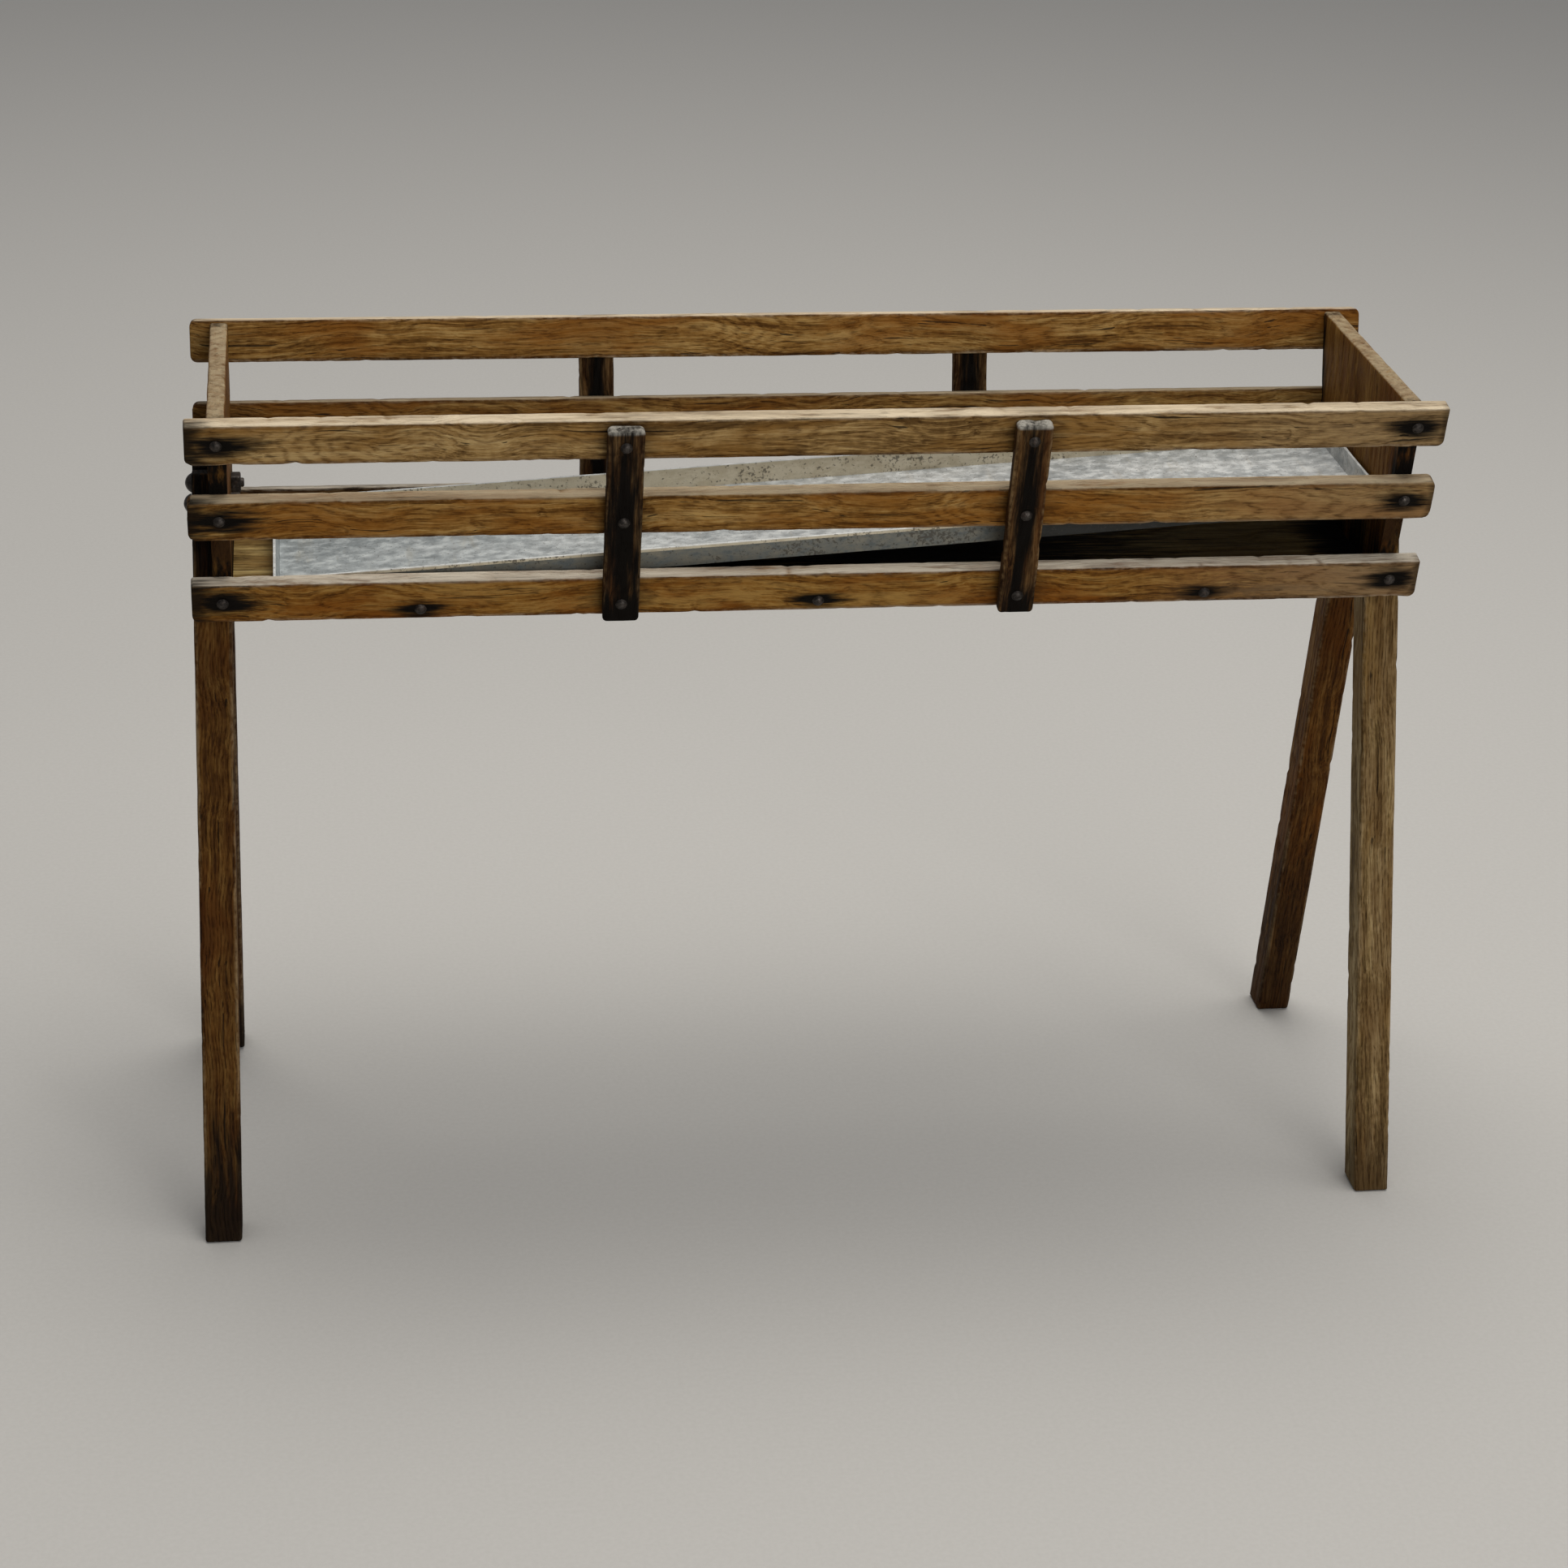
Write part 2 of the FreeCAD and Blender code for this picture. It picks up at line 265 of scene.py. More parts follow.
def oak(piece, place, turn, half, seed, tones, upper, rubbed, rings, soaked, drift=None):
    """Weathered oak: rings, pores and streaks along the grain, pale wear on edges, black iron stains.

    half is half the piece's length, width and thickness; tones are dark, middle, light and a warm patch;
    upper is which end or side lies upward, the pale colour it has weathered to, painted lighter still by the
    light from above, how fully and how far down;
    rubbed is the colour of the worn edges and how much they are worn;
    rings is how deep their middle lies, their spacing and how strongly they show;
    soaked is how much of a dark mark comes through to the inside, then the dark marks, which are iron and
    damp
    stains and in places painted shade: where along and across the grain, how far each way, how strong;
    drift is how much lighter the wood gets towards its +X end, and in its middle, and how grey that end
    has gone.
    """
    finish, flat = new_finish(piece.name + "_oak", place, turn)
    x, y, z = flat.parts()
    dark, middle, light, warm = tones
    upper_axis, pale, upper_share, upper_deep = upper
    edge, edge_share = rubbed
    pith, spacing, ring_share = rings
    through, marks = soaked
    ripple = flat.noise((10, 6, 6), seed + 41, 1) - 0.5
    grain = ripple.node("ShaderNodeVectorMath", {"operation": "MULTIPLY_ADD"},
                        {0: ripple, 1: (0, 0.026, 0.018), 2: flat})
    broad = grain.noise((5, 150, 150), seed, 5)
    fine = grain.noise((26, 700, 700), seed + 3, 3)
    patch = flat.noise((7, 24, 24), seed + 7, 3)
    shade = flat.noise((9, 60, 60), seed + 9, 3)
    wander = flat.noise((2.6, 6, 6), seed + 11, 1)
    waver = flat.noise((18, 80, 80), seed + 12, 3)
    dash = grain.noise((100, 800, 800), seed + 13, 2)
    fleck = flat.noise((170, 170, 170), seed + 17, 3)
    hair = grain.noise((80, 2300, 2300), seed + 37, 1)
    split = grain.noise((5, 360, 360), seed + 31, 2).rise(0.665, 0.70)

    aside, depth = grain.parts()[1:]
    depth = depth - pith + (wander - 0.5) * 0.07
    ring = ((aside ** 2 + depth ** 2) ** 0.5 + (waver - 0.5) * 0.007) / spacing
    early = abs(ring.reckon("FRACT", ring) * 2 - 1).rise(0.30, 0.98)
    pore = dash.rise(0.46, 0.64) * (0.35 + 0.65 * early)
    tone = (broad - 0.5) * 2.3 + (fine - 0.5) * 1.5 + (fleck - 0.5) * 0.6 + (shade - 0.5) * 1.3
    tone = tone + (hair - 0.5) * 0.8 + 0.5
    if drift:
        lighter_end, lighter_middle, grey_end = drift
        tone = tone + x * (lighter_end / half[0]) + (1 - abs(x).rise(0.08, 0.24)) * lighter_middle
    colour = tone.node("ShaderNodeValToRGB", {"stops": [(0.05, dark), (0.5, middle), (0.95, light)]},
                       {0: tone})
    colour = (patch.rise(0.45, 0.64) * 0.75).blend(colour, warm)
    if drift:
        greyed = x.rise(half[0] * 0.45, half[0] * 0.95) * (0.6 + 0.8 * shade) * grey_end
        colour = greyed.blend(colour, greyed_oak)
    colour = (early * ring_share).blend(colour, early_wood, "MULTIPLY")
    colour = (pore * 0.6).blend(colour, open_pore, "MULTIPLY")
    colour = (split * 0.85).blend(colour, split_dark)

    # Dark, broken lines along both long edges of every face: grime, and painted shade at the arrises.
    rim = abs(y).rise(half[1] - 0.0052, half[1] - 0.0016) * shade.rise(0.30, 0.56)
    colour = (rim * 0.75).blend(colour, edge_grime_and_shade, "MULTIPLY")
    near_side = abs(y).rise(half[1] - 0.0040, half[1] - 0.0006)
    near_face = abs(z).rise(half[2] - 0.0040, half[2] - 0.0006)
    wear = near_side * near_face * (fleck * 0.5 + broad * 0.9).rise(0.58, 0.86) * edge_share
    # The upper side or end is paler: weathering, and painted light from above where the light falls on it.
    upper_end = half[upper_axis]
    lifted = (0 - (x, y)[upper_axis]).rise(upper_end - upper_deep, upper_end - upper_deep / 3)
    grime = flat.noise((24, 150, 150), seed + 23, 5).rise(0.52, 0.72)
    wear = wear * (1 - grime * 0.65)
    weathered_and_lit = lifted * (0.85 + 1.9 * (broad - 0.5)) * upper_share * (1 - grime * 0.65)
    colour = weathered_and_lit.blend(wear.blend(colour, edge), pale)

    ragged = (flat.noise((20, 260, 260), seed + 29, 4) - 0.5) * 1.7
    black = None
    # Each mark darkens towards near black: iron and damp stains, and where noted painted shade.
    for along, across, reach, spread, strength in marks:
        gap = (((x - along) / reach) ** 2 + ((y - across) / spread) ** 2) ** 0.5 + ragged
        stain = (1 - gap.rise(0.35, 1.25)) * strength
        black = black.most(stain) if black else stain
    black = black * (1 - z.rise(-0.002, half[2] - 0.001) * (1 - through))
    colour = black.blend(colour, stain_and_shade_black)

    rough = 0.60 + 0.14 * early - 0.06 * weathered_and_lit.most(wear) + 0.14 * (fleck - 0.5) + 0.06 * black
    height = 0.5 * broad + 0.5 * fine - 0.4 * early - 0.6 * pore + 0.3 * fleck + 0.35 * hair - 1.2 * split
    applied(piece, finish, colour, rough, height, relief=0.0006)
    finish.node_tree.nodes["Principled BSDF"].inputs["Specular IOR Level"].default_value = 0.06


def end_board(name):
    """An end board lying at the origin, its top towards -X."""
    piece = sawn(name, board_tall, board_top_wide, board_thick)
    pick(piece, lambda a, b: a.x > 0 and b.x > 0)
    bpy.ops.transform.resize(value=(1, board_foot_wide / board_top_wide, 1), center_override=(0, 0, 0))
    pick(piece, lambda a, b: a.x < 0 and b.x < 0 and abs(a.z - b.z) < level_within)
    bpy.ops.mesh.bevel(offset=board_ease, segments=3, affect="EDGES")
    cut_across(0, -board_tall / 2, board_tall / 2, pitch=0.010)
    cut_across(1, -board_top_wide / 2, board_top_wide / 2, pitch=0.012)
    worn(piece, deepest=0.0006, size=0.03, dent=0.0008)
    return piece


board_half = (board_tall / 2, board_top_wide / 2, board_thick / 2)
board_tones = ((0.088, 0.034, 0.006), (0.158, 0.072, 0.0145), (0.225, 0.118, 0.030), (0.125, 0.044, 0.007))
board_pale = (0.33, 0.26, 0.16)
# Each end board's foot is blackened: damp staining, with painted deep shade on its lower inside under the
# tray.
board_damp_and_shade = [(board_half[0], across * 0.03, 0.075, 0.035, 1.0) for across in (-3, -1, 1, 3)]
board_nail_stains = [(down, across * wide, 0.040, 0.011, strength) for across in (-1, 1)
                     for down, wide, strength in ((-0.055, 0.119, 1.0), (-0.020, 0.110, 1.0),
                                                  (0.03, 0.100, 0.8), (0.07, 0.091, 0.9))]
board_bolt_stains = [(0.016, across, 0.022, 0.014, 0.9) for across in (-0.0245, 0.0245)]
for name, side, seed in (("right_end_board", 1, 4.0), ("left_end_board", -1, 9.0)):
    board = end_board("visual_" + name)
    place = (side * (board_low.x + board_high.x) / 2, 0, (board_low.z + board_high.z) / 2)
    turn = (0, math.pi / 2, 0 if side > 0 else math.pi)
    laid(board, place, turn)
    oak(board, place, turn, board_half, seed, board_tones, upper=(0, board_pale, 0.85, thin_skin),
        rubbed=(board_pale, 0.5), rings=(-0.08, 0.0110, 0.10),
        soaked=(1.0, board_damp_and_shade + board_nail_stains + board_bolt_stains))
    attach(board, "stand")
    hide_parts(name)

# Floor of the trough
# One oak board between the end boards, its long edges planed to the slope of the walls.
# The bottom slats are nailed to its edges; most of it lies in the dark under the tray.
floor_low, floor_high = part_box("floor_board")
floor_long = floor_high.x - floor_low.x
floor_thick = floor_high.z - floor_low.z
floor_wide = floor_high.y - floor_low.y
floor = sawn("visual_floor_board", floor_long, floor_wide, floor_thick)
pick(floor, lambda a, b: a.z < 0 and b.z < 0)
bpy.ops.transform.resize(value=(1, 1 - 2 * floor_thick * math.tan(wall_lean) / floor_wide, 1),
                         center_override=(0, 0, 0))
cut_across(0, -floor_long / 2, floor_long / 2, pitch=0.020)
cut_across(1, -floor_wide / 2, floor_wide / 2, pitch=0.020)
worn(floor, deepest=0.0006, size=0.05)
floor_place, floor_turn = (0, 0, (floor_low.z + floor_high.z) / 2), (0, 0, 0)
laid(floor, floor_place, floor_turn)
floor_tones = ((0.115, 0.070, 0.020), (0.270, 0.182, 0.064), (0.400, 0.295, 0.120), (0.190, 0.110, 0.032))
floor_pale = (0.35, 0.28, 0.17)
floor_damp = [(-0.14, 0.0, 0.29, 0.16, 1.0), (0.10, 0.0, 0.28, 0.16, 1.0), (0.32, 0.0, 0.22, 0.16, 0.56),
              (0.465, 0.0, 0.050, 0.20, 1.0)]
oak(floor, floor_place, floor_turn, (floor_long / 2, floor_wide / 2, floor_thick / 2), seed=14.0,
    tones=floor_tones, upper=(1, floor_pale, 0.0, thin_skin), rubbed=(floor_pale, 0.2),
    rings=(-0.11, 0.0075, 0.3), soaked=(1.0, floor_damp))
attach(floor, "stand")
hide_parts("floor_board")

# Slats
# Three oak slats make each wall. They lean outward, run past the end boards and have rounded, handled ends.
# Each is nailed to the end boards, and the iron has stained the oak black along its grain.
slat_long, slat_wide, slat_thick = 1.000, 0.036, 0.014
slat_half = (slat_long / 2, slat_wide / 2, slat_thick / 2)
slat_ease, round_corner, square_corner = 0.0019, 0.006, 0.0025
wall_top, wall_half = 0.700, 0.138
board_mid, batten_along = 0.4755, 0.161
floor_nails_along, floor_nail_up = (-0.32, 0.0, 0.32), 0.009
row_middle = {"front": {"top": 0.018, "middle": 0.0865, "bottom": 0.163},
              "rear": {"top": 0.018, "middle": 0.0865, "bottom": 0.159}}
floor_nail_row = (wall_top - board_low.z - floor_nail_up) / math.cos(wall_lean)


def slat_blank(name, upper_corner, lower_corner):
    """A slat lying at the origin, its upper side towards -Y and its outer face towards -Z."""
    piece = sawn(name, slat_long, slat_wide, slat_thick)
    for corner, sign in ((upper_corner, -1), (lower_corner, 1)):
        pick(piece, lambda a, b: abs(a.z - b.z) > slat_thick * 0.7 and a.y * sign > slat_wide * 0.49)
        bpy.ops.mesh.bevel(offset=corner, segments=6, affect="EDGES")
    pick(piece, lambda a, b: abs(a.z - b.z) < level_within)
    bpy.ops.mesh.bevel(offset=slat_ease, segments=3, affect="EDGES")
    cut_across(0, start=-0.485, end=0.485, pitch=0.005)
    cut_across(1, start=-0.0155, end=0.0155, pitch=0.0045)
    bpy.ops.object.mode_set(mode="OBJECT")
    return piece


def on_wall(along, down, inward, rear, spin=0.0):
    """Place and turn of a piece drawn flat: along the trough, down the slope, inward from the outer face."""
    lean = Matrix.Rotation(wall_lean - math.pi / 2, 4, "X")
    stand = Matrix.Translation((0, -wall_half, wall_top)) @ lean @ Matrix.Translation((along, down, inward))
    stand = stand @ Matrix.Rotation(spin, 4, "Z")
    if rear:
        stand = Matrix.Rotation(math.pi, 4, "Z") @ stand
    return tuple(stand.to_translation()), tuple(stand.to_euler())


slat_tones = {
    "front_top": ((0.110, 0.057, 0.016), (0.310, 0.188, 0.066),
                  (0.450, 0.310, 0.135), (0.245, 0.122, 0.028)),
    "front_middle": ((0.086, 0.034, 0.0045), (0.265, 0.134, 0.0310),
                     (0.400, 0.246, 0.082), (0.228, 0.086, 0.0105)),
    "front_bottom": ((0.072, 0.025, 0.0026), (0.215, 0.094, 0.0150),
                     (0.320, 0.178, 0.046), (0.192, 0.062, 0.0056)),
    "rear_top": ((0.076, 0.030, 0.0042), (0.228, 0.114, 0.0255),
                 (0.360, 0.222, 0.074), (0.198, 0.073, 0.0085)),
    "rear_middle": ((0.070, 0.029, 0.0050), (0.195, 0.098, 0.0230),
                    (0.310, 0.190, 0.062), (0.170, 0.064, 0.0080)),
    "rear_bottom": ((0.030, 0.014, 0.0040), (0.080, 0.044, 0.0140),
                    (0.140, 0.086, 0.0320), (0.066, 0.030, 0.0070)),
}
slat_drift = {
    "front_top": (-0.13, -0.22, 0.5), "front_middle": (0.02, 0.0, 0.5), "front_bottom": (-0.20, 0.24, 0.7),
    "rear_top": (0.05, 0.18, 0.0), "rear_middle": (-0.18, 0.0, 0.0), "rear_bottom": (0.0, 0.0, 0.0),
}
# Each row's upper side: the pale colour it is weathered to with painted light from above, and how fully it
# shows.
upper_side_weathered_and_lit = {"top": ((0.58, 0.48, 0.34), 1.0), "middle": ((0.40, 0.320, 0.21), 0.9),
              "bottom": ((0.52, 0.46, 0.37), 1.0)}
square_topped = slat_blank("slat_square_topped", square_corner, round_corner)
round_ended = slat_blank("slat_round_ended", round_corner, round_corner)
seed = 20.0
for wall in ("front", "rear"):
    for row, down in row_middle[wall].items():
        rounded = row == "middle" or wall == "rear" and row == "top"
        slat = again(round_ended if rounded else square_topped, "visual_%s_%s_slat" % (wall, row))
        place, turn = on_wall(0, down, slat_half[2], wall == "rear")
        laid(slat, place, turn)
        worn(slat, deepest=0.0006, size=0.030, dent=0.0014)
        left = -1 if wall == "front" else 1
        marks = [(left * board_mid, 0.0, 0.040, 0.013, 1.0),
                  (left * slat_half[0], 0.0, 0.024, 0.026, 0.95),
                  (-left * board_mid, 0.0, 0.027, 0.0125, 1.0),
                  (-left * slat_half[0], 0.0, 0.008, 0.024, 0.7)]
        # Dark patches on the slats beside each batten: iron staining, with painted shade along the batten's
        # sides.
        marks += [(end * batten_along, 0.0, 0.028, 0.022, 0.55) for end in (-1, 1)]
        if row == "bottom":
            marks += [(along, floor_nail_row - down, 0.026, 0.0085, 1.0) for along in floor_nails_along]
        seed += 5.3
        pale, pale_share = upper_side_weathered_and_lit[row]
        oak(slat, place, turn, slat_half, seed, slat_tones[wall + "_" + row],
            upper=(1, pale, pale_share, thin_skin), rubbed=(pale, 0.4), rings=(0.030, 0.0027, 0.34),
            soaked=(0.2, marks), drift=slat_drift[wall + "_" + row])
        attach(slat, "stand")
        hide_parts("%s_%s_slat" % (wall, row))
for blank in (square_topped, round_ended):
    bpy.data.objects.remove(blank)

# Battens
# Two upright oak strips tie the slats of each wall together on the outside, with a nail into every slat.
# The iron has turned the middle of each strip nearly black; its rubbed edges stay paler, and its top is
# paler still, weathered and painted lighter where the light from above falls.
batten_long, batten_wide, batten_thick = 0.178, 0.030, 0.012
batten_half = (batten_long / 2, batten_wide / 2, batten_thick / 2)
batten_drop, batten_ease, batten_top_corner, batten_foot_corner = 0.003, 0.0034, 0.005, 0.004
batten_blank = sawn("batten_blank", batten_long, batten_wide, batten_thick)
for corner, sign in ((batten_top_corner, -1), (batten_foot_corner, 1)):
    pick(batten_blank, lambda a, b: abs(a.z - b.z) > batten_thick * 0.8 and a.x * sign > batten_long * 0.49)
    bpy.ops.mesh.bevel(offset=corner, segments=6, affect="EDGES")
pick(batten_blank, lambda a, b: abs(a.z - b.z) < level_within)
bpy.ops.mesh.bevel(offset=batten_ease, segments=5, affect="EDGES")
cut_across(0, start=-0.08, end=0.085, pitch=0.004)
cut_across(1, start=-0.0125, end=0.0125, pitch=0.004)
bpy.ops.object.mode_set(mode="OBJECT")
batten_tones = ((0.030, 0.012, 0.004), (0.110, 0.055, 0.018), (0.190, 0.110, 0.044), (0.080, 0.029, 0.007))
batten_pale, batten_skin, batten_edge = (0.32, 0.30, 0.26), 0.0052, (0.27, 0.175, 0.08)
for wall, side, end, seed, stain in (("front", "left", -1, 61.0, 1.6), ("front", "right", 1, 66.0, 0.85),
                                     ("rear", "right", -1, 71.0, 1.0), ("rear", "left", 1, 76.0, 1.0)):
    batten = again(batten_blank, "visual_%s_%s_batten" % (wall, side))
    place, turn = on_wall(end * batten_along, batten_drop + batten_half[0], -batten_half[2], wall == "rear",
                          spin=math.pi / 2)
    laid(batten, place, turn)
    worn(batten, deepest=0.0007, size=0.022, dent=0.0014)
    marks = [(0.0, 0.0, 0.130, 0.0120 * stain, 1.0), (0.085, 0.0, 0.045, 0.019 * stain, 1.0)]
    oak(batten, place, turn, batten_half, seed, batten_tones, upper=(0, batten_pale, 1.6, batten_skin),
        rubbed=(batten_edge, 0.9), rings=(0.03, 0.0030, 0.4), soaked=(1.0, marks))
    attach(batten, "stand")
    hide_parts("%s_%s_batten" % (wall, side))
bpy.data.objects.remove(batten_blank)

# Nails
# Hand-made iron nails with round hammered heads hold slats, battens and floor.
# Each is driven square to the wall, its shank inside the wood.
nail_head, nail_rise, nail_shank, nail_long, nail_point = 0.010, 0.003, 0.0032, 0.018, 0.5
nail_turn = 1.3
iron_scale_dark, iron_scale_light = (0.016, 0.013, 0.011), (0.042, 0.035, 0.030)
iron_rust, iron_rubbed = (0.048, 0.023, 0.011), (0.100, 0.086, 0.076)


def iron(piece, seed):
    """Old black iron: scaly, a little brown with rust, rubbed grey where hands and cloths reach it."""
    finish, flat = new_finish(piece.name + "_iron", (0, 0, 0), (0, 0, 0))
    scale = flat.noise((420, 420, 420), seed, 5)
    rust = flat.noise((150, 150, 150), seed + 4, 4).rise(0.52, 0.70)
    rubbed = flat.noise((190, 190, 190), seed + 9, 2).rise(0.48, 0.66)
    colour = scale.rise(0.35, 0.65).blend(iron_scale_dark, iron_scale_light)
    colour = (rust * 0.55).blend(colour, iron_rust)
    colour = (rubbed * 0.45).blend(colour, iron_rubbed)
    rough = 0.46 + 0.22 * rust - 0.12 * rubbed
    metal = 0.75 - 0.55 * rust
    applied(piece, finish, colour, rough, scale + 0.5 * rust, relief=0.0003, metallic=metal)


def head_of(name, wide, rise, segments):
    """A round head, domed towards -Z, flat at Z 0."""
    ball = ((wide / 2) ** 2 + rise ** 2) / (2 * rise)
    bpy.ops.object.select_all(action="DESELECT")
    bpy.ops.mesh.primitive_uv_sphere_add(segments=segments, ring_count=segments, radius=ball,
                                         location=(0, 0, ball - rise))
    piece = bpy.context.object
    piece.name = name
    bpy.ops.object.transform_apply(location=True, rotation=True, scale=True)
    bpy.ops.object.mode_set(mode="EDIT")
    bpy.ops.mesh.select_all(action="SELECT")
    bpy.ops.mesh.bisect(plane_co=(0, 0, 0), plane_no=(0, 0, 1), use_fill=True, clear_outer=True)
    return piece


nail = head_of("nail", nail_head, nail_rise, segments=24)
bpy.ops.mesh.inset(thickness=(nail_head - nail_shank) / 2)
bpy.ops.mesh.extrude_region_move(TRANSFORM_OT_translate={"value": (0, 0, nail_long)})
bpy.ops.transform.resize(value=(nail_point, nail_point, 1))
worn(nail, deepest=0.0005, size=0.0035)

seed = 100.0
for wall in ("front", "rear"):
    rows = row_middle[wall].values()
    nail_places = {
        "slat": [(x, y, 0.0) for y in rows for x in (-board_mid, board_mid)],
        "batten": [(x, y, -batten_thick) for y in rows for x in (-batten_along, batten_along)],
        "floor": [(x, floor_nail_row, 0.0) for x in floor_nails_along],
    }
    for use, places in nail_places.items():
        group = []
        for number, (along, down, surface) in enumerate(places):
            one = again(nail, "nail_%s_%s_%d" % (wall, use, number))
            place, turn = on_wall(along, down, surface, wall == "rear", spin=nail_turn * number)
            laid(one, place, turn)
            group.append(one)
        for one in group:
            one.select_set(True)
        bpy.ops.object.join()
        nails = bpy.context.object
        nails.name = "visual_%s_%s_nails" % (wall, use)
        seed += 3.0
        iron(nails, seed)
        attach(nails, "stand")
        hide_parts("%s_%s_nails" % (wall, use))
bpy.data.objects.remove(nail)

# Legs
# Four square oak legs, splayed front to back and leaning a little outward. Each is halved over the outside
# of its end board, stands with a shoulder under the board's lower edge, and is cut level at the foot.
leg_thick, leg_deep = 0.031, 0.032
leg_splay, leg_lean = math.radians(13.4), math.radians(0.9)
leg_head, head_clear = 0.026, 0.004
leg_ease, head_ease, foot_ease, foot_up = 0.0032, 0.0018, 0.0028, 0.0001
bolt_up, bolt_out = 0.596, 0.02449
leg_outer = board_low.x + leg_thick
leg_reach = bolt_up / math.cos(leg_splay) + leg_deep
leg_half = (leg_reach, leg_deep / 2, leg_thick / 2)


def leg_shape(name):
    """A leg lying at the origin, its bolt at X 0 and its foot towards +X."""
    piece = sawn(name, leg_reach + leg_head, leg_deep, leg_thick)
    bpy.ops.mesh.select_all(action="SELECT")
    bpy.ops.transform.translate(value=((leg_reach - leg_head) / 2, 0, 0))
    pick(piece, lambda a, b: abs(a.x - b.x) > leg_reach / 2)
    bpy.ops.mesh.bevel(offset=leg_ease, segments=4, affect="EDGES")
    pick(piece, lambda a, b: a.x < 0 and b.x < 0)
    bpy.ops.mesh.bevel(offset=head_ease, segments=2, affect="EDGES")
    cut_across(0, -leg_head + head_clear, leg_reach, pitch=0.006)
    cut_across(1, -leg_deep / 2, leg_deep / 2, pitch=0.006)
    cut_across(2, -leg_thick / 2, leg_thick / 2, pitch=0.006)
    return piece


def leg_cut(piece, end, foot):
    """Cuts the lap for the end board and the level, eased foot of a placed leg.

    end is 1 at the right and -1 at the left; foot is where the leg's middle line meets the ground.
    """
    block = 0.4
    bpy.ops.object.select_all(action="DESELECT")
    bpy.ops.mesh.primitive_cube_add(size=block, location=(end * (board_high.x - block / 2), 0,
                                                          board_low.z + block / 2))
    notch = bpy.context.object
    bpy.context.view_layer.objects.active = piece
    lap = piece.modifiers.new("lap", "BOOLEAN")
    lap.object = notch
    lap.operation = "DIFFERENCE"
    lap.solver = "EXACT"
    bpy.ops.object.modifier_apply(modifier="lap")
    bpy.data.objects.remove(notch)
    take_up(piece)
    bpy.ops.object.mode_set(mode="EDIT")
    bpy.ops.mesh.select_all(action="SELECT")
    bpy.ops.mesh.bisect(plane_co=(0, 0, foot_up), plane_no=(0, 0, -1), use_fill=True, clear_outer=True)
    for side, reach in ((Vector((1, 0, 0)), leg_thick / 2),
                        (Vector((0, 1, 0)), leg_deep / 2 / math.cos(leg_splay))):
        for sign in (-1, 1):
            bpy.ops.mesh.select_all(action="SELECT")
            bpy.ops.mesh.bisect(plane_co=foot + side * sign * (reach - foot_ease),
                                plane_no=side * sign - Vector((0, 0, 1)), use_fill=True, clear_outer=True)
    # The cuts can leave loose flaps, so many-sided faces are split and open edges are taken off.
    bpy.ops.mesh.select_mode(type="FACE")
    bpy.ops.mesh.select_face_by_sides(number=4, type="GREATER", extend=False)
    bpy.ops.mesh.quads_convert_to_tris(quad_method="BEAUTY", ngon_method="CLIP")
    bpy.ops.mesh.select_mode(type="EDGE")
    bpy.ops.mesh.select_all(action="DESELECT")
    bpy.ops.mesh.select_non_manifold(use_wire=True, use_boundary=True, use_multi_face=False,
                                     use_non_contiguous=False, use_verts=False)
    bpy.ops.mesh.delete(type="EDGE")
    bpy.ops.object.mode_set(mode="OBJECT")
    bpy.ops.object.shade_smooth_by_angle(angle=crease)


# The legs' tones differ partly as painted light and shade: the front right leg is painted lighter as the
# more lit, the front left darker as the more shaded, and the rear left, hidden in shade, darkest.
leg_tones_lit_and_shaded = {
    "front_left": ((0.056, 0.022, 0.0043), (0.138, 0.063, 0.0122),
                   (0.232, 0.132, 0.0360), (0.112, 0.039, 0.0057)),
    "front_right": ((0.118, 0.074, 0.0255), (0.278, 0.190, 0.0800),
                    (0.430, 0.325, 0.1650), (0.206, 0.120, 0.0370)),
    "rear_left": ((0.024, 0.009, 0.0020), (0.064, 0.027, 0.0060),
                  (0.110, 0.055, 0.0150), (0.056, 0.018, 0.0030)),
    "rear_right": ((0.056, 0.021, 0.0040), (0.140, 0.060, 0.0115),
                   (0.225, 0.118, 0.0330), (0.155, 0.054, 0.0066)),
}
leg_edge = (0.34, 0.25, 0.14)
foot_along = 0.620
